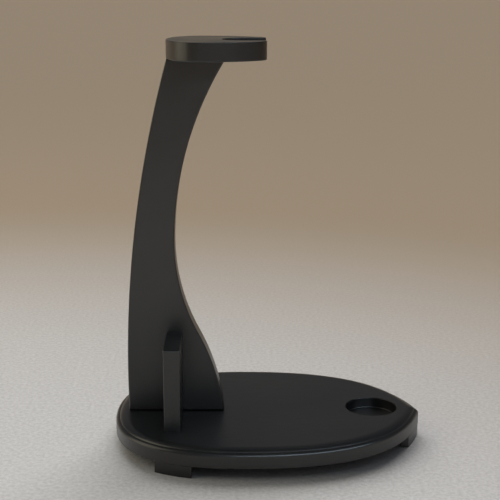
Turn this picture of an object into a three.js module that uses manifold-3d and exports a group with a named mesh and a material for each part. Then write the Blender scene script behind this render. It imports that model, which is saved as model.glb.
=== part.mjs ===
// Desk stand with a pointed-oval base, a curved upright, two braces and an oval top plate.
// Millimetres, +Z up. The origin is on the floor, under the middle of the base board.
// +X points to the tip of the base. The two long sides of the base face -Y and +Y.
import * as THREE from 'three';
import * as BufferGeometryUtils from 'three/addons/utils/BufferGeometryUtils.js';
import Module from 'manifold-3d';

const wasm = await Module();
wasm.setup();

// Boards
const FOOT_HEIGHT = 8.5;
const BASE_THICK = 13;
const PLATE_THICK = 13;
const UPRIGHT_THICK = 16;
const BRACE_THICK = 12;

// Base outline: half-width and the places along X of its rear end, widest point and tip
const BASE_REAR = -112.5;
const BASE_TIP = 112.5;
const BASE_WIDEST = -18;
const BASE_HALF_WIDTH = 85;
const REAR_FULLNESS = 0.667;
const FRONT_HANDLE = 67;
const TIP_HANDLE = { back: 18, out: 64 };

// Moulded edge of the base: a flat quarter-oval above a small rounded shoulder
const OVAL = { inset: 6, drop: 2.2 };
const SHOULDER = 2.8;

// Slight rounding of every other exposed edge
const EASE = 1;
const CORNER = 1.4;
const EDGE_STEPS = { moulded: 5, eased: 2 };

// Round blind recess near the tip
const RECESS = { x: 77, radius: 19, depth: 8 };

// Upright side profile: arc radii, and the heights above the base where the arcs touch vertical
const BACK = { x: -103, radius: 850, height: 30 };
const WAIST = { x: -67.8, height: 127, upperRadius: 248, lowerRadius: 145, sweep: 28 };
const TOE_RADIUS = 165;
const UPRIGHT_HEIGHT = 257.5;

// Braces
const BRACE = { x: -68.5, reach: 49.5, height: 60 };

// Oval top plate, blunter behind its widest place and cut off square in front,
// with a U-shaped slot open to the front
const PLATE = { widest: -48, behind: 24.5, ahead: 55, front: -2.5, halfWidth: 41.5, corner: 4 };
const SLOT = { end: -33.5, halfWidth: 15 };

// Feet, trimmed flush with the base outline
const REAR_FOOT = { x: -67, length: 26, innerY: 46 };
const FRONT_FOOT = { rearX: 96.5, halfWidth: 27.5 };

// Fasteners
const CLEARANCE = 0.25;
const UPRIGHT_SCREW = { length: 35, radius: 2.2, headRadius: 4.2, headHeight: 2.8 };
const BRACE_SCREW = { length: 32, radius: 1.9, headRadius: 3.7, headHeight: 2.5 };
const FOOT_SCREW = { length: 15, radius: 1.7, headRadius: 3.4, headHeight: 2.2 };
const HEAD_SINK = 0.6;
const HEAD_RIM = 0.5;
const UPRIGHT_SCREW_X = [-94, -68.5, -43];
const BRACE_SCREW_Y = [19, 36];
const REAR_FOOT_SCREWS = { inset: 13, spread: 6.5 };
const FRONT_FOOT_SCREWS = { inset: 5.5, spread: 12 };

// A screw's point in radii, its blunt end in radii, and its cross in shares of the head
const POINT_LENGTH = 2.5;
const POINT_BLUNT = 0.25;
const CROSS = { arm: 0.55, blade: 0.14, depth: 0.6 };

const PLATE_DOWEL = { radius: 4, length: 26, intoPlate: 8, x: [-66, -51] };
const BRACE_DOWEL = { radius: 3, length: 40, heights: [30, 48] };

const CURVE_STEPS = 28;
const ROUND_STEPS = 32;
const FAR = 400;
const MARGIN = 1;
const OPEN_BELOW = 30;
const BASE_BOTTOM = FOOT_HEIGHT;
const BASE_TOP = BASE_BOTTOM + BASE_THICK;
const PLATE_BOTTOM = BASE_TOP + UPRIGHT_HEIGHT;
const PLATE_TOP = PLATE_BOTTOM + PLATE_THICK;
const SIDES = [['near', -1], ['far', 1]];

function paintedMaterial() {
  return new THREE.MeshStandardMaterial({ color: 0x17181a, roughness: 0.42, metalness: 0 });
}

function steelMaterial() {
  return new THREE.MeshStandardMaterial({ color: 0x9a9da0, roughness: 0.35, metalness: 1 });
}

function beechMaterial() {
  return new THREE.MeshStandardMaterial({ color: 0xc9a06c, roughness: 0.7, metalness: 0 });
}

function solidFrom(geometry) {
  geometry.deleteAttribute('normal');
  geometry.deleteAttribute('uv');
  const merged = BufferGeometryUtils.mergeVertices(geometry, 1e-4);
  const mesh = new wasm.Mesh({
    numProp: 3,
    vertProperties: new Float32Array(merged.attributes.position.array),
    triVerts: new Uint32Array(merged.index.array),
  });
  return new wasm.Manifold(mesh);
}

function geometryFrom(solid) {
  const mesh = solid.getMesh();
  const geometry = new THREE.BufferGeometry();
  geometry.setAttribute('position', new THREE.BufferAttribute(mesh.vertProperties, 3));
  geometry.setIndex(new THREE.BufferAttribute(mesh.triVerts, 1));
  geometry.computeVertexNormals();
  return geometry;
}

// A shape in the XY plane, thickened upwards from bottom to top
function slab(shape, bottom, top) {
  const geometry = new THREE.ExtrudeGeometry(shape, {
    depth: top - bottom, bevelEnabled: false, curveSegments: CURVE_STEPS,
  });
  return solidFrom(geometry.translate(0, 0, bottom));
}

// As slab, with its upper and lower edges rounded inwards by a quarter-oval
function edgedSlab(shape, bottom, top, inset, drop, steps = EDGE_STEPS.eased) {
  const geometry = new THREE.ExtrudeGeometry(shape, {
    depth: top - bottom - 2 * drop,
    bevelEnabled: true,
    bevelSize: inset,
    bevelOffset: -inset,
    bevelThickness: drop,
    bevelSegments: steps,
    curveSegments: CURVE_STEPS,
  });
  return solidFrom(geometry.translate(0, 0, bottom + drop));
}

function box(low, high) {
  const size = high.map((value, axis) => value - low[axis]);
  const centre = high.map((value, axis) => (value + low[axis]) / 2);
  return solidFrom(new THREE.BoxGeometry(...size).translate(...centre));
}

// Everything from one height to another
function layer(bottom, top) {
  return box([-FAR, -FAR, bottom], [FAR, FAR, top]);
}

function rod(radius, length, steps = ROUND_STEPS) {
  const geometry = new THREE.CylinderGeometry(radius, radius, length, steps);
  return solidFrom(geometry.rotateX(Math.PI / 2));
}

// The base outline, drawn inwards from its full size by an inset
function baseShape(inset = 0) {
  const rear = BASE_REAR + inset;
  const tip = BASE_TIP - inset;
  const half = BASE_HALF_WIDTH - inset;
  const rearReach = REAR_FULLNESS * (BASE_WIDEST - rear);
  const shape = new THREE.Shape();
  shape.moveTo(rear, 0);
  shape.bezierCurveTo(
    rear, -REAR_FULLNESS * half, BASE_WIDEST - rearReach, -half, BASE_WIDEST, -half);
  shape.bezierCurveTo(
    BASE_WIDEST + FRONT_HANDLE, -half, tip - TIP_HANDLE.back, -TIP_HANDLE.out, tip, 0);
  shape.bezierCurveTo(
    tip - TIP_HANDLE.back, TIP_HANDLE.out, BASE_WIDEST + FRONT_HANDLE, half, BASE_WIDEST, half);
  shape.bezierCurveTo(
    BASE_WIDEST - rearReach, half, rear, REAR_FULLNESS * half, rear, 0);
  return shape;
}

// The upright's side profile: X across, height above the base up.
// It runs on past both ends of the board, which are cut square afterwards.
function uprightShape(overrun) {
  const sweep = THREE.MathUtils.degToRad(WAIST.sweep);
  const back = { x: BACK.x + BACK.radius, z: BACK.height };
  const upper = { x: WAIST.x + WAIST.upperRadius, z: WAIST.height };
  const lower = { x: WAIST.x + WAIST.lowerRadius, z: WAIST.height };
  const reach = WAIST.lowerRadius + TOE_RADIUS;
  const toe = {
    x: lower.x - reach * Math.cos(sweep),
    z: lower.z - reach * Math.sin(sweep),
  };
  const low = -overrun;
  const high = UPRIGHT_HEIGHT + overrun;
  const topBack = Math.asin((high - back.z) / BACK.radius);
  const topFront = Math.asin((high - upper.z) / WAIST.upperRadius);
  const bottomBack = Math.asin((back.z - low) / BACK.radius);
  const bottomToe = Math.asin((low - toe.z) / TOE_RADIUS);
  const shape = new THREE.Shape();
  shape.absarc(toe.x, toe.z, TOE_RADIUS, bottomToe, sweep, false);
  shape.absarc(lower.x, lower.z, WAIST.lowerRadius, Math.PI + sweep, Math.PI, true);
  shape.absarc(upper.x, upper.z, WAIST.upperRadius, Math.PI, Math.PI - topFront, true);
  shape.absarc(back.x, back.z, BACK.radius, Math.PI - topBack, Math.PI + bottomBack, false);
  shape.closePath();
  return shape;
}

// Two half-ovals that meet at the widest place, less the square cut and the slot
function plateShape() {
  const { widest, behind, ahead, front, halfWidth, corner } = PLATE;
  const turn = Math.acos((front - corner - widest) / ahead);
  const steps = 3 * CURVE_STEPS;
  const rim = [];
  for (let i = 0; i <= steps; i += 1) {
    const angle = THREE.MathUtils.lerp(turn, 2 * Math.PI - turn, i / steps);
    const reach = Math.cos(angle) > 0 ? ahead : behind;
    rim.push([widest + reach * Math.cos(angle), halfWidth * Math.sin(angle)]);
  }
  const halfFront = halfWidth * Math.sqrt(1 - ((front - widest) / ahead) ** 2);
  const slotCentre = SLOT.end + SLOT.halfWidth;
  const shape = new THREE.Shape();
  shape.moveTo(front, SLOT.halfWidth);
  shape.lineTo(front, halfFront - corner);
  shape.quadraticCurveTo(front, halfFront, ...rim[0]);
  rim.slice(1).forEach((point) => shape.lineTo(...point));
  shape.quadraticCurveTo(front, -halfFront, front, corner - halfFront);
  shape.lineTo(front, -SLOT.halfWidth);
  shape.absarc(slotCentre, 0, SLOT.halfWidth, -Math.PI / 2, Math.PI / 2, true);
  shape.closePath();
  return shape;
}

// A countersunk wood screw along +Z, head down, its head's face at z = 0
function screwGeometry({ length, radius, headRadius, headHeight }) {
  const point = POINT_LENGTH * radius;
  const profile = [
    [0, 0], [headRadius, 0], [headRadius, HEAD_RIM], [radius, headHeight],
    [radius, length - point], [POINT_BLUNT * radius, length], [0, length],
  ].map(([x, y]) => new THREE.Vector2(x, y));
  return new THREE.LatheGeometry(profile, ROUND_STEPS / 2).rotateX(Math.PI / 2);
}

function screwBody(screw) {
  const body = solidFrom(screwGeometry(screw));
  const arm = screw.headRadius * CROSS.arm;
  const blade = screw.headRadius * CROSS.blade;
  const depth = screw.headHeight * CROSS.depth;
  const across = box([-arm, -blade, -MARGIN], [arm, blade, depth]);
  const along = box([-blade, -arm, -MARGIN], [blade, arm, depth]);
  return body.subtract(across.add(along));
}

// The hole that a screw needs, open below its head
function screwHole({ length, radius, headRadius, headHeight }) {
  const wide = headRadius + CLEARANCE;
  const narrow = radius + CLEARANCE;
  const profile = [
    [0, -OPEN_BELOW], [wide, -OPEN_BELOW], [wide, HEAD_RIM], [narrow, headHeight + CLEARANCE],
    [narrow, length + CLEARANCE], [0, length + CLEARANCE],
  ].map(([x, y]) => new THREE.Vector2(x, y));
  return solidFrom(new THREE.LatheGeometry(profile, ROUND_STEPS / 2).rotateX(Math.PI / 2));
}

// Every screw of the stand: name, size and the place of its head's face
function screwList() {
  const list = [];
  const baseHead = BASE_BOTTOM + HEAD_SINK;
  UPRIGHT_SCREW_X.forEach((x, index) => {
    list.push([`upright_screw_${index + 1}`, UPRIGHT_SCREW, [x, 0, baseHead]]);
  });
  for (const [side, sign] of SIDES) {
    BRACE_SCREW_Y.forEach((y, index) => {
      list.push([`${side}_brace_screw_${index + 1}`, BRACE_SCREW, [BRACE.x, sign * y, baseHead]]);
    });
    const { inset, spread } = REAR_FOOT_SCREWS;
    [-spread, spread].forEach((shift, index) => {
      const place = [REAR_FOOT.x + shift, sign * (REAR_FOOT.innerY + inset), HEAD_SINK];
      list.push([`${side}_foot_screw_${index + 1}`, FOOT_SCREW, place]);
    });
    const frontX = FRONT_FOOT.rearX + FRONT_FOOT_SCREWS.inset;
    const front = [frontX, sign * FRONT_FOOT_SCREWS.spread, HEAD_SINK];
    list.push([`front_foot_screw_${side}`, FOOT_SCREW, front]);
  }
  return list;
}

// Every dowel: name, radius, length, centre and axis
function dowelList() {
  const plateCentre = PLATE_BOTTOM + PLATE_DOWEL.intoPlate - PLATE_DOWEL.length / 2;
  const list = PLATE_DOWEL.x.map((x, index) => (
    [`plate_dowel_${index + 1}`, PLATE_DOWEL, [x, 0, plateCentre], 'z']
  ));
  BRACE_DOWEL.heights.forEach((height, index) => {
    list.push([`brace_dowel_${index + 1}`, BRACE_DOWEL, [BRACE.x, 0, BASE_TOP + height], 'y']);
  });
  return list;
}

function placedRod(radius, length, place, axis) {
  const solid = rod(radius, length);
  const turned = axis === 'y' ? solid.rotate([90, 0, 0]) : solid;
  return turned.translate(place);
}

const screws = screwList();
const dowels = dowelList();

// Cuts every screw and dowel hole that reaches into a board
function drilled(board) {
  let solid = board;
  for (const [, size, place] of screws) {
    solid = solid.subtract(screwHole(size).translate(place));
  }
  for (const [, size, place, axis] of dowels) {
    const radius = size.radius + CLEARANCE;
    const length = size.length + 2 * CLEARANCE;
    solid = solid.subtract(placedRod(radius, length, place, axis));
  }
  return solid;
}

function baseBoard() {
  const ledge = BASE_TOP - OVAL.drop;
  const lower = edgedSlab(baseShape(), BASE_BOTTOM, ledge, SHOULDER, SHOULDER);
  const upper = edgedSlab(
    baseShape(SHOULDER), BASE_BOTTOM, BASE_TOP, OVAL.inset, OVAL.drop, EDGE_STEPS.moulded)
    .intersect(layer(ledge - MARGIN, BASE_TOP + MARGIN));
  const recess = rod(RECESS.radius, 2 * RECESS.depth, 2 * ROUND_STEPS)
    .translate([RECESS.x, 0, BASE_TOP]);
  return drilled(lower.add(upper).subtract(recess));
}

function uprightBoard() {
  const half = UPRIGHT_THICK / 2;
  const board = edgedSlab(uprightShape(2 * EASE), -half, half, EASE, EASE)
    .rotate([90, 0, 0])
    .translate([0, 0, BASE_TOP])
    .intersect(layer(BASE_TOP, PLATE_BOTTOM));
  return drilled(board);
}

function topPlate() {
  return drilled(edgedSlab(plateShape(), PLATE_BOTTOM, PLATE_TOP, EASE, EASE));
}

// The end against the upright is cut square, and so is the end on the base
function brace(sign) {
  const half = BRACE_THICK / 2;
  const inner = UPRIGHT_THICK / 2;
  const shape = new THREE.Shape();
  shape.moveTo(BRACE.x - half, 0);
  shape.lineTo(BRACE.x + half, 0);
  const cornerY = BRACE.reach - CORNER;
  shape.absarc(BRACE.x + half - CORNER, cornerY, CORNER, 0, Math.PI / 2, false);
  shape.absarc(BRACE.x - half + CORNER, cornerY, CORNER, Math.PI / 2, Math.PI, false);
  shape.closePath();
  const low = [-FAR, inner, BASE_TOP];
  const high = [FAR, FAR, BASE_TOP + BRACE.height];
  const board = edgedSlab(shape, BASE_TOP - 2 * EASE, BASE_TOP + BRACE.height, EASE, EASE)
    .intersect(box(low, high));
  return drilled(sign > 0 ? board : board.mirror([0, 1, 0]));
}

function foot(low, high) {
  const footprint = slab(baseShape(), 0, FOOT_HEIGHT);
  return drilled(footprint.intersect(box(low, high)));
}

function rearFoot(sign) {
  const ends = [sign * REAR_FOOT.innerY, sign * 2 * BASE_HALF_WIDTH].sort((a, b) => a - b);
  const half = REAR_FOOT.length / 2;
  return foot(
    [REAR_FOOT.x - half, ends[0], -MARGIN],
    [REAR_FOOT.x + half, ends[1], FOOT_HEIGHT + MARGIN]);
}

function frontFoot() {
  return foot(
    [FRONT_FOOT.rearX, -FRONT_FOOT.halfWidth, -MARGIN],
    [2 * BASE_TIP, FRONT_FOOT.halfWidth, FOOT_HEIGHT + MARGIN]);
}

const stand = new THREE.Group();

function add(name, solid, material) {
  const mesh = new THREE.Mesh(geometryFrom(solid), material);
  mesh.name = name;
  stand.add(mesh);
  return mesh;
}

add('base_board', baseBoard(), paintedMaterial());
add('upright', uprightBoard(), paintedMaterial());
add('top_plate', topPlate(), paintedMaterial());
add('front_foot', frontFoot(), paintedMaterial());
for (const [side, sign] of SIDES) {
  add(`${side}_brace`, brace(sign), paintedMaterial());
  add(`${side}_rear_foot`, rearFoot(sign), paintedMaterial());
}
for (const [name, size, place] of screws) {
  add(name, screwBody(size), steelMaterial()).position.set(...place);
}
for (const [name, size, place, axis] of dowels) {
  add(name, placedRod(size.radius, size.length, place, axis), beechMaterial());
}

export default stand;
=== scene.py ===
"""A black painted desk stand: boards with eased edges, screws, dowels, and a pale studio floor.

Everything is in metres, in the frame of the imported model: +X to the tip of the base, +Z up.
Sizes that belong to one detail are in millimetres, times MM.
"""
import math

import bmesh
import bpy
from mathutils import Matrix, Vector


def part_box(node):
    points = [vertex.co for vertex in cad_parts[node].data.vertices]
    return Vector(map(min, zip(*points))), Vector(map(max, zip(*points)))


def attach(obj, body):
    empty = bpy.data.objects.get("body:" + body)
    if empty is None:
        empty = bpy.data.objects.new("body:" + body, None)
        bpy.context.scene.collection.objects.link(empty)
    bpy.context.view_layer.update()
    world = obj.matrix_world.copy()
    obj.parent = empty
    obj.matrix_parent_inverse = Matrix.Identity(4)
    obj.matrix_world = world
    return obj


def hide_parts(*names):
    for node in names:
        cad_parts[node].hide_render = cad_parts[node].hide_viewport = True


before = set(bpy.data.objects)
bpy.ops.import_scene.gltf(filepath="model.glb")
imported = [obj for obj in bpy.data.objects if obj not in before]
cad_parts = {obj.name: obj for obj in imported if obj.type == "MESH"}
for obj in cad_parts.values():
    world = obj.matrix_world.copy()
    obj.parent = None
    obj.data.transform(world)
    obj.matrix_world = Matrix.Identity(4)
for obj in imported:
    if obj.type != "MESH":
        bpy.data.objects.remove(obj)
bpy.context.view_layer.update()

MM = 0.001
BODY = "root"

# Base outline, as in the CAD model: the handles of its curves
BASE_WIDEST = -18 * MM
REAR_FULLNESS = 0.667
FRONT_HANDLE = 67 * MM
TIP_HANDLE_BACK = 18 * MM
TIP_HANDLE_OUT = 64 * MM

# Moulded edge of the base: a flat quarter-oval above a small rounded shoulder
OVAL_INSET = 6 * MM
OVAL_DROP = 2.2 * MM
OVAL_START = math.radians(17)
SHOULDER = 2.8 * MM

RECESS_X = 77 * MM
RECESS_RADIUS = 19 * MM
RECESS_DEPTH = 8 * MM

# Upright side profile: arc radii, and the heights above the base where the arcs touch vertical
BACK_X, BACK_RADIUS, BACK_HEIGHT = -103 * MM, 850 * MM, 30 * MM
WAIST_X, WAIST_HEIGHT = -67.8 * MM, 127 * MM
WAIST_UPPER_RADIUS, WAIST_LOWER_RADIUS = 248 * MM, 145 * MM
WAIST_SWEEP = math.radians(28)
TOE_RADIUS = 165 * MM

# Top plate: two half-ovals that meet at its widest place, a square cut and a slot in front
PLATE_WIDEST = -48 * MM
PLATE_AHEAD = 55 * MM
PLATE_CORNER = 4 * MM
SLOT_HALF_WIDTH = 15 * MM
SLOT_END = -33.5 * MM

# Rounding of the edges, and the room round a hidden screw or dowel
EASE = 1.0 * MM
SHARP_EASE = 0.25 * MM
UPRIGHT_EASE = 1.2 * MM
PLATE_TOP_EASE = 0.5 * MM
FOOT_TOP_EASE = 0.15 * MM
BRACE_CORNER = 1.4 * MM
RECESS_LIP = 0.7 * MM
RECESS_FILLET = 0.8 * MM
CLEARANCE = 0.25 * MM

# Countersunk screws: thread radius and head height for each head radius, all in millimetres
SCREW_KINDS = {4.2: (2.2, 2.8), 3.7: (1.9, 2.5), 3.4: (1.7, 2.2)}
HEAD_SINK = 0.6 * MM
HEAD_RIM = 0.5 * MM
HEAD_BEVEL = 0.15 * MM
MOUTH_BEVEL = 0.3 * MM

# Thread: its root, pitch and point in thread radii, its plain part as a share of the length below
# the head, the half-width of its ridge as a share of the pitch, and the rings in one turn
THREAD_ROOT = 0.72
THREAD_PITCH = 0.95
POINT_LENGTH = 3
PLAIN_SHANK = 0.22
RIDGE_HALF_WIDTH = 0.3
ROWS_PER_TURN = 6

# Cross recess: arm and blade as shares of the head's radius, depth of its height, floor of its mouth
CROSS_ARM, CROSS_BLADE, CROSS_DEPTH, CROSS_TAPER = 0.52, 0.16, 0.62, 0.6

DOWEL_FLUTES = 20
POINTS_PER_FLUTE = 6
FLUTE_DEPTH = 0.25 * MM
DOWEL_CHAMFER = 0.9 * MM

# Viewpoint of the photograph: just over the stand's height, looking slightly down
CAMERA_PLACE = (-0.0208, -0.8373, 0.3407)
CAMERA_DEGREES = {"azimuth": -0.49, "elevation": 13.38, "roll": 0.138}
CAMERA_LENS = 85.69

# Linear colours of the stand
PAINT_DARK, PAINT_LIGHT = (0.0085, 0.0086, 0.0088), (0.0125, 0.0124, 0.0120)
PAINT_RUBBED = (0.034, 0.030, 0.026)
DUST = (0.10, 0.095, 0.09)
ZINC_DARK, ZINC_LIGHT = (0.46, 0.47, 0.49), (0.66, 0.66, 0.65)
BEECH_DARK, BEECH_LIGHT = (0.50, 0.31, 0.17), (0.68, 0.47, 0.28)
BEECH_FLECK = (0.36, 0.20, 0.10)

# Studio: a painted pool of light makes the floor pale round a place in front of the stand and left of it;
# further out it fades to tan, partly the ground's colour and partly painted shade
FLOOR_RADIUS = 14
LIT_PATCH_CENTRE = (-0.30, -0.35, 0)
LIT_PATCH_RADIUS = 0.36
TAN_RADIUS = 1.25
PAPER_DARK, PAPER_LIGHT = (0.59, 0.58, 0.58), (0.73, 0.72, 0.72)
SHADED_FLOOR_TAN = (0.42, 0.33, 0.24)
ROOM_LOW, ROOM_HIGH = (0.17, 0.15, 0.125), (0.085, 0.092, 0.105)
WALL_LOW, WALL_HIGH = (0.58, 0.46, 0.31), (0.105, 0.112, 0.125)
WALL_SHADE = (0.60, 0.60, 0.62)
WHITE, BLACK = (1, 1, 1), (0, 0, 0)
WARM, COOL = (1.0, 0.93, 0.70), (0.72, 0.87, 1.0)


# ---------------------------------------------------------------- outlines

def bezier(p0, p1, p2, p3, steps):
    """Points of a cubic curve, without its last one."""
    points = []
    for i in range(steps):
        t = i / steps
        weights = ((1 - t) ** 3, 3 * t * (1 - t) ** 2, 3 * t * t * (1 - t), t ** 3)
        points.append(tuple(
            sum(w * p[axis] for w, p in zip(weights, (p0, p1, p2, p3))) for axis in (0, 1)))
    return points


def arc(centre, radius, start, end, steps, radius_y=None):
    """Points from one angle to another, both ends included."""
    radius_y = radius if radius_y is None else radius_y
    points = []
    for i in range(steps + 1):
        angle = start + (end - start) * i / steps
        points.append((centre[0] + radius * math.cos(angle), centre[1] + radius_y * math.sin(angle)))
    return points


def base_outline(steps=72):
    """Plan of the base, counter-clockwise from its rear."""
    low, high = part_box("base_board")
    rear, tip, half = low.x, high.x, high.y
    reach = REAR_FULLNESS * (BASE_WIDEST - rear)
    side = bezier(
        (rear, 0), (rear, -REAR_FULLNESS * half),
        (BASE_WIDEST - reach, -half), (BASE_WIDEST, -half), steps)
    side += bezier(
        (BASE_WIDEST, -half), (BASE_WIDEST + FRONT_HANDLE, -half),
        (tip - TIP_HANDLE_BACK, -TIP_HANDLE_OUT), (tip, 0), steps)
    mirrored = [(x, -y) for x, y in side[:0:-1]]
    return side + [(tip, 0)] + mirrored


def upright_outline():
    """Side profile as (x, height above the base), counter-clockwise."""
    low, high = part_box("upright")
    height = high.z - low.z
    back = (BACK_X + BACK_RADIUS, BACK_HEIGHT)
    upper = (WAIST_X + WAIST_UPPER_RADIUS, WAIST_HEIGHT)
    lower = (WAIST_X + WAIST_LOWER_RADIUS, WAIST_HEIGHT)
    reach = WAIST_LOWER_RADIUS + TOE_RADIUS
    toe = (lower[0] - reach * math.cos(WAIST_SWEEP), lower[1] - reach * math.sin(WAIST_SWEEP))
    top_back = math.asin((height - back[1]) / BACK_RADIUS)
    top_front = math.asin((height - upper[1]) / WAIST_UPPER_RADIUS)
    bottom_back = math.asin(back[1] / BACK_RADIUS)
    bottom_toe = math.asin(-toe[1] / TOE_RADIUS)
    points = arc(toe, TOE_RADIUS, bottom_toe, WAIST_SWEEP, 24)
    points += arc(lower, WAIST_LOWER_RADIUS, math.pi + WAIST_SWEEP, math.pi, 30)[1:]
    points += arc(upper, WAIST_UPPER_RADIUS, math.pi, math.pi - top_front, 40)[1:]
    points += arc(back, BACK_RADIUS, math.pi - top_back, math.pi + bottom_back, 56)
    return points


def round_corner(start, corner, end, steps=8):
    """Points from start to end, both included, on a curve that leaves out the corner."""
    handles = [tuple(p + (c - p) * 2 / 3 for p, c in zip(point, corner)) for point in (start, end)]
    return bezier(start, *handles, end, steps) + [end]


def plate_outline():
    """Plan of the top plate, counter-clockwise from the corner on its far side."""
    low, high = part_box("top_plate")
    half_width, front = high.y, high.x
    behind = PLATE_WIDEST - low.x
    half_front = half_width * math.sqrt(1 - ((front - PLATE_WIDEST) / PLATE_AHEAD) ** 2)
    turn = math.acos((front - PLATE_CORNER - PLATE_WIDEST) / PLATE_AHEAD)
    centre = (PLATE_WIDEST, 0)
    quarter = math.pi / 2
    rim = arc(centre, PLATE_AHEAD, turn, quarter, 44, half_width)
    rim += arc(centre, behind, quarter, 3 * quarter, 72, half_width)[1:]
    rim += arc(centre, PLATE_AHEAD, 3 * quarter, 4 * quarter - turn, 44, half_width)[1:]
    flat_end = half_front - PLATE_CORNER
    points = round_corner((front, flat_end), (front, half_front), rim[0])
    points += rim[1:-1]
    points += round_corner(rim[-1], (front, -half_front), (front, -flat_end))
    points.append((front, -SLOT_HALF_WIDTH))
    slot_centre = (SLOT_END + SLOT_HALF_WIDTH, 0)
    points += arc(slot_centre, SLOT_HALF_WIDTH, -quarter, -3 * quarter, 40)
    points.append((front, SLOT_HALF_WIDTH))
    return points


def rounded_corners(corners, radii, steps=6):
    """A polygon whose corners are rounded, counter-clockwise."""
    points = []
    count = len(corners)
    for i, radius in enumerate(radii):
        here = Vector(corners[i])
        before = (Vector(corners[i - 1]) - here).normalized()
        after = (Vector(corners[(i + 1) % count]) - here).normalized()
        if radius == 0:
            points.append(tuple(here))
            continue
        half = before.angle(after) / 2
        centre = here + (before + after).normalized() * (radius / math.sin(half))
        start = here + before * (radius / math.tan(half)) - centre
        turn = math.pi - 2 * half
        for k in range(steps + 1):
            points.append(tuple(centre + Matrix.Rotation(turn * k / steps, 2) @ start))
    return points


# ---------------------------------------------------------------- boards

def inward(outline):
    """For each point, the way to move it so that the outline shrinks evenly."""
    ways = []
    count = len(outline)
    for i in range(count):
        before = (Vector(outline[i]) - Vector(outline[i - 1])).normalized()
        after = (Vector(outline[(i + 1) % count]) - Vector(outline[i])).normalized()
        total = Vector((-before.y - after.y, before.x + after.x))
        ways.append(total / (1 + before.dot(after)))
    return ways


def eased(bottom, top, ease_bottom=EASE, ease_top=EASE, steps=4):
    """Edge profile of a plain board, as (inset, height) from its bottom face to its top."""
    quarter = [k / steps * math.pi / 2 for k in range(steps + 1)]
    profile = []
    for a in quarter:
        profile.append((ease_bottom * (1 - math.sin(a)), bottom + ease_bottom * (1 - math.cos(a))))
    for a in quarter:
        profile.append((ease_top * (1 - math.cos(a)), top - ease_top * (1 - math.sin(a))))
    return profile


def moulded(bottom, top):
    """Edge profile of the base: eased bottom, wall, rounded shoulder and quarter-oval."""
    ledge = top - OVAL_DROP
    profile = eased(bottom, ledge, SHARP_EASE, SHOULDER, 8)
    steps = 12
    for k in range(1, steps + 1):
        a = OVAL_START + k / steps * (math.pi / 2 - OVAL_START)
        inset = SHOULDER + OVAL_INSET * (1 - math.cos(a) / math.cos(OVAL_START))
        rise = (math.sin(a) - math.sin(OVAL_START)) / (1 - math.sin(OVAL_START))
        profile.append((inset, ledge + OVAL_DROP * rise))
    return profile


def pocket(x, y, mouth, floor, radius, lip, fillet, steps=5, sides=96):
    """A round blind pocket in a top face: a rounded lip, a wall and a rounded floor edge."""
    rings = []
    for k in range(steps + 1):
        a = k / steps * math.pi / 2
        rings.append((radius + lip * (1 - math.sin(a)), mouth - lip * (1 - math.cos(a))))
    for k in range(steps + 1):
        a = k / steps * math.pi / 2
        rings.append((radius - fillet * (1 - math.cos(a)), floor + fillet * (1 - math.sin(a))))
    return (x, y, rings, sides)


def screw_hole(x, y, mouth, exit_height, size, sides=40):
    """A countersunk hole through a board, from its underside to its top."""
    wide = size["head_radius"] + CLEARANCE
    narrow = size["radius"] + CLEARANCE
    head = mouth + HEAD_SINK
    rings = [
        (wide + MOUTH_BEVEL, mouth), (wide, mouth + MOUTH_BEVEL), (wide, head + HEAD_RIM),
        (narrow, head + size["head_height"] + CLEARANCE), (narrow, exit_height)]
    return (x, y, rings, sides)


def blind_hole(node, mouth, sides=40):
    """A plain hole from a board's underside to just past a screw's tip."""
    size = screw_size(node)
    radius = size["radius"] + CLEARANCE
    end = size["bottom"] + size["length"] + CLEARANCE
    return (*size["centre"], [(radius, mouth), (radius, end)], sides)


def board_mesh(outline, profile, holes=()):
    """A closed board. A hole's rings start or end in a face of the board, or end in its inside."""
    bm = bmesh.new()
    ways = inward(outline)
    rings = []
    for inset, height in profile:
        rings.append([
            bm.verts.new((x + way.x * inset, y + way.y * inset, height))
            for (x, y), way in zip(outline, ways)])
    bridge(bm, rings)
    rims = {profile[0][1]: [rings[0]], profile[-1][1]: [rings[-1]]}
    for x, y, circle_sizes, sides in holes:
        circles = []
        for radius, height in circle_sizes:
            circles.append([
                bm.verts.new((x + px, y + py, height))
                for px, py in arc((0, 0), radius, 0, 2 * math.pi, sides)[:-1]])
        bridge(bm, circles)
        for circle, (_, height) in ((circles[0], circle_sizes[0]), (circles[-1], circle_sizes[-1])):
            if height in rims:
                rims[height].append(circle)
            else:
                bm.faces.new(circle)
    for loops in rims.values():
        cap(bm, loops)
    bmesh.ops.recalc_face_normals(bm, faces=bm.faces)
    return bm


def bridge(bm, rings):
    """Joins rings of equal count with strips of quads."""
    for lower, upper in zip(rings, rings[1:]):
        count = len(lower)
        for i in range(count):
            k = (i + 1) % count
            bm.faces.new((lower[i], lower[k], upper[k], upper[i]))


def cap(bm, loops):
    """Fills a flat face between an outline and the holes in it."""
    if len(loops) == 1:
        bm.faces.new(loops[0])
        return
    edges = []
    for loop in loops:
        for i, vert in enumerate(loop):
            edges.append(bm.edges.get((vert, loop[(i + 1) % len(loop)])))
    bmesh.ops.triangle_fill(bm, edges=edges, use_beauty=True)


def finish_piece(name, bm, material, replaced, sharp_degrees=32):
    """Makes the object, smooths its round stretches, and lets it ride with the stand."""
    mesh = bpy.data.meshes.new(name)
    bm.to_mesh(mesh)
    bm.free()
    mesh.polygons.foreach_set("use_smooth", [True] * len(mesh.polygons))
    mesh.set_sharp_from_angle(angle=math.radians(sharp_degrees))
    piece = bpy.data.objects.new(name, mesh)
    bpy.context.scene.collection.objects.link(piece)
    mesh.materials.append(material)
    weighted = piece.modifiers.new("weighted_normals", "WEIGHTED_NORMAL")
    weighted.keep_sharp = True
    weighted.weight = 100
    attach(piece, BODY)
    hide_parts(replaced)
    return piece


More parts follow.
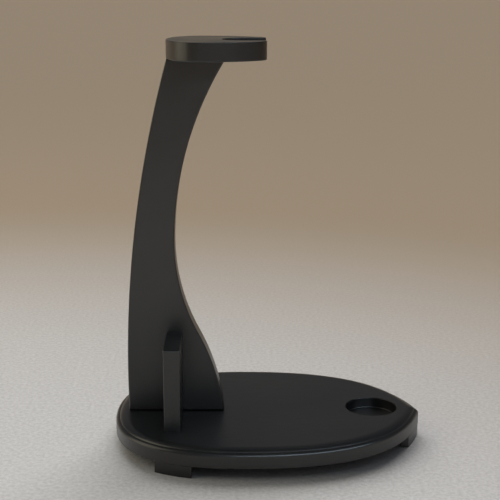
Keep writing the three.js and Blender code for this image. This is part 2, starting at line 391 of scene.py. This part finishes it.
def stand_up(bm):
    """Turns a board drawn in X and Y, thick along Z, so that it is drawn in X and Z, thick along Y."""
    bmesh.ops.transform(bm, matrix=Matrix.Rotation(math.pi / 2, 4, "X"), verts=bm.verts)


# ---------------------------------------------------------------- fasteners

SCREWS = [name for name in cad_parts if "_screw" in name]
DOWELS = [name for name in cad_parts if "_dowel" in name]


def screw_size(node):
    """Sizes of a screw, from its CAD node."""
    low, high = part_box(node)
    head = (high.x - low.x) / 2
    radius, head_height = SCREW_KINDS[round(head / MM, 1)]
    return {
        "head_radius": head,
        "radius": radius * MM,
        "head_height": head_height * MM,
        "length": high.z - low.z,
        "centre": ((low.x + high.x) / 2, (low.y + high.y) / 2),
        "bottom": low.z,
    }


def rod_place(node):
    """A screw's or dowel's long axis, its length and narrow width, and the turn and move from Z."""
    low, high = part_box(node)
    extent = high - low
    axis = max(range(3), key=lambda k: extent[k])
    turn = Matrix.Identity(4) if axis == 2 else Matrix.Rotation(math.pi / 2, 4, "X")
    return axis, extent[axis], min(extent), Matrix.Translation((low + high) / 2) @ turn


def screw_mesh(size):
    """A countersunk wood screw, head down, with a cross recess and a helical thread."""
    bm = bmesh.new()
    sides = 24
    x0, y0 = size["centre"]
    z0 = size["bottom"]
    crest, root = size["radius"], THREAD_ROOT * size["radius"]
    head_top = size["head_height"]
    pitch = THREAD_PITCH * size["radius"]
    shank_end = head_top + PLAIN_SHANK * (size["length"] - head_top)
    point_start = size["length"] - POINT_LENGTH * size["radius"]
    rings = []

    def ring(radius_at, height_at):
        verts = []
        for i in range(sides):
            a = 2 * math.pi * i / sides
            r = radius_at(a)
            verts.append(bm.verts.new((x0 + r * math.cos(a), y0 + r * math.sin(a), z0 + height_at(a))))
        rings.append(verts)

    head = size["head_radius"]
    for radius, height in ((head - HEAD_BEVEL, 0), (head, HEAD_BEVEL), (head, HEAD_RIM),
                           (0.8 * crest + 0.2 * head, 0.82 * head_top), (0.9 * crest, head_top),
                           (0.84 * crest, shank_end)):
        ring(lambda a, r=radius: r, lambda a, h=height: h)
    rows = int((size["length"] - shank_end) / pitch * ROWS_PER_TURN)
    for row in range(1, rows):
        height = shank_end + row * pitch / ROWS_PER_TURN
        taper = min(1.0, max(0.08, (size["length"] - height) / (size["length"] - point_start)))
        fade = min(1.0, row / (2 * ROWS_PER_TURN))

        def thread(a, height=height, taper=taper, fade=fade):
            phase = (height / pitch - a / (2 * math.pi)) % 1.0
            ridge = max(0.0, 1 - abs(phase - 0.5) / RIDGE_HALF_WIDTH)
            return taper * (root + (crest - root) * ridge * fade)
        ring(thread, lambda a, h=height: h)
    bridge(bm, rings)
    tip = bm.verts.new((x0, y0, z0 + size["length"]))
    last = rings[-1]
    for i in range(sides):
        bm.faces.new((last[i], last[(i + 1) % sides], tip))
    cross_recess(
        bm, rings[0], (x0, y0, z0), CROSS_ARM * head, CROSS_BLADE * head, CROSS_DEPTH * head_top)
    bmesh.ops.recalc_face_normals(bm, faces=bm.faces)
    return bm


def cross_recess(bm, rim, centre, arm, blade, depth):
    """Closes the head's face with a tapered cross-shaped socket in it."""
    x0, y0, z0 = centre
    corners = []
    for quarter in range(4):
        turn = Matrix.Rotation(quarter * math.pi / 2, 2)
        for point in ((arm, -blade), (arm, blade), (blade, blade)):
            corners.append(turn @ Vector(point))
    mouth = [bm.verts.new((x0 + p.x, y0 + p.y, z0)) for p in corners]
    floor = [
        bm.verts.new((x0 + p.x * CROSS_TAPER, y0 + p.y * CROSS_TAPER, z0 + depth)) for p in corners]
    bridge(bm, [mouth, floor])
    bm.faces.new(floor)
    cap(bm, [rim, mouth])


def dowel_mesh(node):
    """A fluted beech dowel with chamfered ends."""
    _, length, width, place = rod_place(node)
    radius = width / 2
    sides = DOWEL_FLUTES * POINTS_PER_FLUTE
    chamfer = DOWEL_CHAMFER
    bm = bmesh.new()
    rings = []
    for height, scale, groove in (
            (-length / 2, 1 - chamfer / radius, 0), (-length / 2 + chamfer, 1, 0),
            (-length / 2 + 1.4 * chamfer, 1, 1), (length / 2 - 1.4 * chamfer, 1, 1),
            (length / 2 - chamfer, 1, 0), (length / 2, 1 - chamfer / radius, 0)):
        verts = []
        for i in range(sides):
            a = 2 * math.pi * i / sides
            cut = FLUTE_DEPTH * groove * (0.5 - 0.5 * math.cos(DOWEL_FLUTES * a))
            r = radius * scale - cut
            verts.append(bm.verts.new((r * math.cos(a), r * math.sin(a), height)))
        rings.append(verts)
    bridge(bm, rings)
    bm.faces.new(rings[0])
    bm.faces.new(rings[-1])
    bmesh.ops.transform(bm, matrix=place, verts=bm.verts)
    bmesh.ops.recalc_face_normals(bm, faces=bm.faces)
    return bm


# ---------------------------------------------------------------- materials

class Nodes:
    """A short way to build a material's node tree."""

    def __init__(self, name):
        self.material = bpy.data.materials.new(name)
        self.material.use_nodes = True
        self.tree = self.material.node_tree
        self.tree.nodes.clear()
        self.output = self.add("ShaderNodeOutputMaterial")

    def add(self, kind, **settings):
        node = self.tree.nodes.new(kind)
        for key, value in settings.items():
            setattr(node, key, value)
        return node

    def join(self, source, target):
        self.tree.links.new(source, target)

    def noise(self, vector, scale, detail=3.0, roughness=0.5, distortion=0.0):
        node = self.add("ShaderNodeTexNoise")
        node.inputs["Scale"].default_value = scale
        node.inputs["Detail"].default_value = detail
        node.inputs["Roughness"].default_value = roughness
        node.inputs["Distortion"].default_value = distortion
        self.join(vector, node.inputs["Vector"])
        return node.outputs["Fac"]

    def span(self, value, low, high, to_low=0.0, to_high=1.0, smooth=False):
        node = self.add("ShaderNodeMapRange")
        if smooth:
            node.interpolation_type = "SMOOTHSTEP"
        for key, number in (
                ("From Min", low), ("From Max", high), ("To Min", to_low), ("To Max", to_high)):
            node.inputs[key].default_value = number
        self.join(value, node.inputs["Value"])
        return node.outputs["Result"]

    def math(self, operation, a, b):
        node = self.add("ShaderNodeMath", operation=operation)
        for socket, value in zip(node.inputs, (a, b)):
            if isinstance(value, (int, float)):
                socket.default_value = value
            else:
                self.join(value, socket)
        return node.outputs["Value"]

    def mix(self, factor, a, b):
        node = self.add("ShaderNodeMix", data_type="RGBA")
        self.join(factor, node.inputs["Factor"])
        for socket, value in ((node.inputs["A"], a), (node.inputs["B"], b)):
            if isinstance(value, tuple):
                socket.default_value = (*value, 1.0)
            else:
                self.join(value, socket)
        return node.outputs["Result"]

    def bump(self, height, distance, strength=1.0, normal=None):
        node = self.add("ShaderNodeBump")
        node.inputs["Strength"].default_value = strength
        node.inputs["Distance"].default_value = distance
        self.join(height, node.inputs["Height"])
        if normal is not None:
            self.join(normal, node.inputs["Normal"])
        return node.outputs["Normal"]

    def scaled(self, vector, scale):
        node = self.add("ShaderNodeMapping")
        node.inputs["Scale"].default_value = scale
        self.join(vector, node.inputs["Vector"])
        return node.outputs["Vector"]


def edge_mask(nodes, radius):
    """1 along the piece's outer edges and 0 on its faces."""
    bevel = nodes.add("ShaderNodeBevel", samples=4)
    bevel.inputs["Radius"].default_value = radius
    geometry = nodes.add("ShaderNodeNewGeometry")
    dot = nodes.add("ShaderNodeVectorMath", operation="DOT_PRODUCT")
    nodes.join(bevel.outputs["Normal"], dot.inputs[0])
    nodes.join(geometry.outputs["Normal"], dot.inputs[1])
    return nodes.span(dot.outputs["Value"], 0.985, 0.90)


def black_paint(name, grain):
    """Satin black paint on board. grain is how much finer the marks are along X, Y and Z."""
    nodes = Nodes(name)
    place = nodes.add("ShaderNodeTexCoord").outputs["Object"]
    shader = nodes.add("ShaderNodeBsdfPrincipled")
    shader.inputs["IOR"].default_value = 1.5
    shader.inputs["Specular IOR Level"].default_value = 0.72

    cloud = nodes.noise(place, 28, 4)
    pebble = nodes.noise(place, 950, 2, 0.6)
    ripple = nodes.noise(place, 210, 2, 0.5)
    strokes = nodes.noise(nodes.scaled(place, grain), 1.0, 3, 0.6)
    dust = nodes.span(nodes.noise(place, 1500, 1), 0.71, 0.78)
    worn = edge_mask(nodes, 0.9 * MM)

    paint = nodes.mix(nodes.span(cloud, 0.35, 0.65), PAINT_DARK, PAINT_LIGHT)
    rubbed = nodes.mix(nodes.math("MULTIPLY", worn, nodes.span(cloud, 0.42, 0.62, 0.15, 0.8)),
                       paint, PAINT_RUBBED)
    dusty = nodes.mix(nodes.math("MULTIPLY", dust, 0.5), rubbed, DUST)
    nodes.join(dusty, shader.inputs["Base Color"])

    satin = nodes.span(cloud, 0.3, 0.7, 0.29, 0.36)
    streaked = nodes.math("ADD", satin, nodes.span(strokes, 0.3, 0.7, -0.025, 0.025))
    nodes.join(nodes.math("SUBTRACT", streaked, nodes.math("MULTIPLY", worn, 0.05)),
               shader.inputs["Roughness"])

    normal = nodes.bump(ripple, 0.05 * MM)
    normal = nodes.bump(strokes, 0.012 * MM, normal=normal)
    normal = nodes.bump(pebble, 0.018 * MM, normal=normal)
    nodes.join(normal, shader.inputs["Normal"])
    nodes.join(shader.outputs["BSDF"], nodes.output.inputs["Surface"])
    return nodes.material


def screw_steel():
    """Bright zinc-plated steel with fine turning marks."""
    nodes = Nodes("screw_steel")
    place = nodes.add("ShaderNodeTexCoord").outputs["Object"]
    shader = nodes.add("ShaderNodeBsdfPrincipled")
    shader.inputs["Metallic"].default_value = 1.0
    cloud = nodes.noise(place, 400, 4)
    turned = nodes.noise(nodes.scaled(place, (300, 300, 9000)), 1.0, 2)
    nodes.join(nodes.mix(cloud, ZINC_DARK, ZINC_LIGHT), shader.inputs["Base Color"])
    nodes.join(nodes.span(turned, 0.3, 0.7, 0.22, 0.42), shader.inputs["Roughness"])
    nodes.join(nodes.bump(turned, 0.01 * MM), shader.inputs["Normal"])
    nodes.join(shader.outputs["BSDF"], nodes.output.inputs["Surface"])
    return nodes.material


def beech(name, along):
    """Bare beech with its grain along one axis and the short flecks that beech has."""
    nodes = Nodes(name)
    place = nodes.add("ShaderNodeTexCoord").outputs["Object"]
    shader = nodes.add("ShaderNodeBsdfPrincipled")
    stretch = tuple(90 if axis == along else 1400 for axis in range(3))
    grain = nodes.noise(nodes.scaled(place, stretch), 1.0, 4, 0.6, 0.4)
    fleck_stretch = tuple(500 if axis == along else 3500 for axis in range(3))
    fleck = nodes.span(nodes.noise(nodes.scaled(place, fleck_stretch), 1.0, 1), 0.62, 0.72)
    wood = nodes.mix(nodes.span(grain, 0.3, 0.7), BEECH_DARK, BEECH_LIGHT)
    nodes.join(nodes.mix(fleck, wood, BEECH_FLECK), shader.inputs["Base Color"])
    nodes.join(nodes.span(grain, 0.3, 0.7, 0.55, 0.75), shader.inputs["Roughness"])
    nodes.join(nodes.bump(grain, 0.04 * MM), shader.inputs["Normal"])
    nodes.join(shader.outputs["BSDF"], nodes.output.inputs["Surface"])
    return nodes.material


# ---------------------------------------------------------------- the stand

FLAT_GRAIN = (60, 900, 900)
TALL_GRAIN = (900, 900, 60)


def bored(bm, node):
    """The board with a clear round hole for each hidden screw or dowel that enters it."""
    low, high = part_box(node)
    drills = bmesh.new()
    for name in SCREWS + DOWELS:
        start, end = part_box(name)
        if any(min(high[k], end[k]) <= max(low[k], start[k]) for k in range(3)):
            continue
        _, length, width, place = rod_place(name)
        radius = CLEARANCE + (screw_size(name)["radius"] if name in SCREWS else width / 2)
        bmesh.ops.create_cone(
            drills, cap_ends=True, segments=40, radius1=radius, radius2=radius,
            depth=length + 2 * CLEARANCE, matrix=place)
    pair = []
    for label, shape in (("undrilled", bm), ("drills", drills)):
        mesh = bpy.data.meshes.new(label)
        shape.to_mesh(mesh)
        shape.free()
        pair.append(bpy.data.objects.new(label, mesh))
        bpy.context.scene.collection.objects.link(pair[-1])
    board, tool = pair
    cut = board.modifiers.new("cut", "BOOLEAN")
    cut.operation = "DIFFERENCE"
    cut.solver = "EXACT"
    cut.object = tool
    evaluated = board.evaluated_get(bpy.context.evaluated_depsgraph_get())
    drilled = bmesh.new()
    drilled.from_mesh(evaluated.to_mesh())
    evaluated.to_mesh_clear()
    for item in pair:
        bpy.data.meshes.remove(item.data)
    return drilled


def make_base(paint):
    low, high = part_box("base_board")
    floor = high.z - RECESS_DEPTH
    holes = [pocket(RECESS_X, 0, high.z, floor, RECESS_RADIUS, RECESS_LIP, RECESS_FILLET)]
    for node in SCREWS:
        if "foot" not in node:
            size = screw_size(node)
            holes.append(screw_hole(*size["centre"], low.z, high.z, size))
        else:
            holes.append(blind_hole(node, low.z))
    bm = board_mesh(base_outline(), moulded(low.z, high.z), holes)
    finish_piece("base_board_painted", bm, paint, "base_board")


def make_upright(paint):
    low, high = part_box("upright")
    bm = board_mesh(upright_outline(), eased(low.y, high.y, UPRIGHT_EASE, UPRIGHT_EASE))
    stand_up(bm)
    bmesh.ops.translate(bm, vec=(0, 0, low.z), verts=bm.verts)
    finish_piece("upright_painted", bored(bm, "upright"), paint, "upright")


def make_plate(paint):
    low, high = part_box("top_plate")
    bm = board_mesh(plate_outline(), eased(low.z, high.z, ease_top=PLATE_TOP_EASE))
    finish_piece("top_plate_painted", bored(bm, "top_plate"), paint, "top_plate")


def make_brace(side, paint):
    """A brace is drawn as its face, out from the upright and up, and is thick along X."""
    node = f"{side}_brace"
    low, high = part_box(node)
    inner, outer = sorted((abs(low.y), abs(high.y)))
    bottom, top = low.z, high.z
    corners = ((inner, bottom), (outer, bottom), (outer, top), (inner, top))
    outline = rounded_corners(corners, (0, 0, BRACE_CORNER, 0))
    bm = board_mesh(outline, eased(low.x, high.x))
    sign = -1 if side == "near" else 1
    turn = Matrix(((0, 0, 1, 0), (sign, 0, 0, 0), (0, 1, 0, 0), (0, 0, 0, 1)))
    bmesh.ops.transform(bm, matrix=turn, verts=bm.verts)
    bmesh.ops.recalc_face_normals(bm, faces=bm.faces)
    finish_piece(f"{node}_painted", bored(bm, node), paint, node)


def make_foot(node, paint):
    """A foot's outline is the base's own outline where it is flush with it, and square elsewhere."""
    low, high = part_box(node)
    fine, thinning = base_outline(600), 6
    flush = [(x, y) for x, y in fine if low.x <= x <= high.x and low.y <= y <= high.y]
    if node == "front_foot":
        flush.sort(key=lambda p: p[1])
        inner = [(low.x, high.y), (low.x, low.y)]
    elif node == "far_rear_foot":
        flush.sort(key=lambda p: -p[0])
        inner = [(low.x, low.y), (high.x, low.y)]
    else:
        flush.sort(key=lambda p: p[0])
        inner = [(high.x, high.y), (low.x, high.y)]
    thinned = flush[::thinning] + ([flush[-1]] if (len(flush) - 1) % thinning else [])
    holes = []
    for screw in SCREWS:
        size = screw_size(screw)
        x, y = size["centre"]
        if "foot" in screw and low.x < x < high.x and low.y < y < high.y:
            holes.append(screw_hole(x, y, low.z, high.z, size))
    bm = board_mesh(thinned + inner, eased(low.z, high.z, SHARP_EASE, FOOT_TOP_EASE, 3), holes)
    finish_piece(f"{node}_painted", bm, paint, node)


def make_stand():
    flat = black_paint("black_paint_flat", FLAT_GRAIN)
    tall = black_paint("black_paint_tall", TALL_GRAIN)
    make_base(flat)
    make_upright(tall)
    make_plate(flat)
    for side in ("near", "far"):
        make_brace(side, tall)
    for node in ("near_rear_foot", "far_rear_foot", "front_foot"):
        make_foot(node, flat)
    steel = screw_steel()
    for node in SCREWS:
        finish_piece(f"{node}_threaded", screw_mesh(screw_size(node)), steel, node)
    for node in DOWELS:
        along = rod_place(node)[0]
        wood = bpy.data.materials.get(f"beech_{along}") or beech(f"beech_{along}", along)
        finish_piece(f"{node}_fluted", dowel_mesh(node), wood, node, 50)


# ---------------------------------------------------------------- studio

def floor_material():
    """Paper with a fine tooth, painted pale as a pool of light round one place, on a tan ground that
    shows further out, partly its colour and partly painted shade.
    """
    nodes = Nodes("studio_floor")
    place = nodes.add("ShaderNodeTexCoord").outputs["Object"]
    shader = nodes.add("ShaderNodeBsdfPrincipled")
    distance = nodes.add("ShaderNodeVectorMath", operation="DISTANCE")
    distance.inputs[1].default_value = LIT_PATCH_CENTRE
    nodes.join(place, distance.inputs[0])
    # painted pool of light: the floor is pale near its centre and fades to a darker tan further out
    out = nodes.span(distance.outputs["Value"], LIT_PATCH_RADIUS, TAN_RADIUS, smooth=True)
    tooth = nodes.noise(place, 330, 5, 0.65)
    paper = nodes.mix(nodes.span(tooth, 0.36, 0.64), PAPER_DARK, PAPER_LIGHT)
    nodes.join(nodes.mix(out, paper, SHADED_FLOOR_TAN), shader.inputs["Base Color"])
    shader.inputs["Roughness"].default_value = 0.9
    shader.inputs["Specular IOR Level"].default_value = 0.2
    nodes.join(nodes.bump(tooth, 0.5 * MM), shader.inputs["Normal"])
    nodes.join(shader.outputs["BSDF"], nodes.output.inputs["Surface"])
    return nodes.material


def make_floor():
    mesh = bpy.data.meshes.new("studio_floor")
    bm = bmesh.new()
    bmesh.ops.create_circle(bm, cap_ends=True, segments=96, radius=FLOOR_RADIUS)
    bm.to_mesh(mesh)
    bm.free()
    floor = bpy.data.objects.new("studio_floor", mesh)
    bpy.context.scene.collection.objects.link(floor)
    mesh.materials.append(floor_material())


def make_world():
    """A tan wall behind the stand, dimmer to the right, and a dim cool room elsewhere."""
    world = bpy.data.worlds.new("studio")
    bpy.context.scene.world = world
    world.use_nodes = True
    tree = world.node_tree
    tree.nodes.clear()
    output = tree.nodes.new("ShaderNodeOutputWorld")
    background = tree.nodes.new("ShaderNodeBackground")
    coordinates = tree.nodes.new("ShaderNodeTexCoord")
    split = tree.nodes.new("ShaderNodeSeparateXYZ")
    tree.links.new(coordinates.outputs["Generated"], split.inputs[0])

    def ramp(source, start, start_colour, end, end_colour):
        node = tree.nodes.new("ShaderNodeValToRGB")
        low, high = node.color_ramp.elements
        low.position, high.position = start, end
        low.color, high.color = (*start_colour, 1), (*end_colour, 1)
        tree.links.new(source, node.inputs["Fac"])
        return node.outputs["Color"]

    room = ramp(split.outputs["Z"], 0.04, ROOM_LOW, 0.24, ROOM_HIGH)
    wall = ramp(split.outputs["Z"], 0.06, WALL_LOW, 0.22, WALL_HIGH)
    shade = ramp(split.outputs["X"], 0.0, WHITE, 0.4, WALL_SHADE)
    behind = ramp(split.outputs["Y"], 0.05, BLACK, 0.65, WHITE)

    def mix(blend, factor, a, b):
        node = tree.nodes.new("ShaderNodeMix")
        node.data_type = "RGBA"
        node.blend_type = blend
        if isinstance(factor, float):
            node.inputs["Factor"].default_value = factor
        else:
            tree.links.new(factor, node.inputs["Factor"])
        tree.links.new(a, node.inputs["A"])
        tree.links.new(b, node.inputs["B"])
        return node.outputs["Result"]

    shaded_wall = mix("MULTIPLY", 1.0, wall, shade)
    tree.links.new(mix("MIX", behind, room, shaded_wall), background.inputs["Color"])
    tree.links.new(background.outputs["Background"], output.inputs["Surface"])


def softbox(name, place, target, width, height, power, colour, spread=180):
    """A rectangular lamp that faces a target and is not seen itself."""
    light = bpy.data.lights.new(name, "AREA")
    light.spread = math.radians(spread)
    light.shape = "RECTANGLE"
    light.size = width
    light.size_y = height
    light.energy = power
    light.color = colour
    lamp = bpy.data.objects.new(name, light)
    lamp.location = place
    lamp.rotation_mode = "QUATERNION"
    lamp.rotation_quaternion = (Vector(target) - Vector(place)).to_track_quat("-Z", "Y")
    lamp.visible_camera = False
    bpy.context.scene.collection.objects.link(lamp)
    return lamp


def ceiling(azimuth, elevation, spread, strength, colour):
    """Light from a wide patch of bright ceiling, even over the whole floor, kept out of reflections."""
    light = bpy.data.lights.new("ceiling", "SUN")
    light.angle = math.radians(spread)
    light.energy = strength
    light.color = colour
    lamp = bpy.data.objects.new("ceiling", light)
    lamp.rotation_mode = "QUATERNION"
    azimuth, elevation = math.radians(azimuth), math.radians(elevation)
    towards = Vector((
        math.cos(azimuth) * math.cos(elevation),
        math.sin(azimuth) * math.cos(elevation),
        math.sin(elevation)))
    lamp.rotation_quaternion = (-towards).to_track_quat("-Z", "Y")
    lamp.visible_glossy = False
    bpy.context.scene.collection.objects.link(lamp)


def make_lights():
    """Lamps round the stand. The right one shows only in reflections, as a line along the base's edge."""
    stand = (-0.05, 0, 0.1)
    ceiling(azimuth=90, elevation=38, spread=64, strength=3.1, colour=(1.0, 0.99, 0.97))
    softbox("left_light", (-1.35, -0.05, 0.75), stand, 1.3, 1.5, 6.3, WARM)
    glint = softbox("right_light", (0.85, -1.25, 1.0), (0.05, 0, 0.1), 2.2, 0.35, 15, COOL)
    glint.visible_diffuse = False
    softbox("table_light", (0.0, -1.1, 1.0), (0.0, -1.1, 0.0), 0.9, 0.9, 2.6, (1.0, 1.0, 0.94), 75)


def make_camera():
    azimuth, elevation, roll = (
        math.radians(CAMERA_DEGREES[name]) for name in ("azimuth", "elevation", "roll"))
    forward = Vector((
        -math.sin(azimuth) * math.cos(elevation),
        math.cos(azimuth) * math.cos(elevation),
        -math.sin(elevation)))
    level = Vector((math.cos(azimuth), math.sin(azimuth), 0))
    upward = level.cross(forward)
    right = level * math.cos(roll) + upward * math.sin(roll)
    up = upward * math.cos(roll) - level * math.sin(roll)
    camera = bpy.data.cameras.new("camera")
    camera.lens = CAMERA_LENS
    camera.sensor_width = 36
    seat = bpy.data.objects.new("camera", camera)
    turn = Matrix((right, up, -forward)).transposed().to_4x4()
    seat.matrix_world = Matrix.Translation(CAMERA_PLACE) @ turn
    bpy.context.scene.collection.objects.link(seat)
    bpy.context.scene.camera = seat


make_camera()
make_stand()
make_floor()
make_world()
make_lights()
bpy.context.scene.view_settings.view_transform = "Standard"
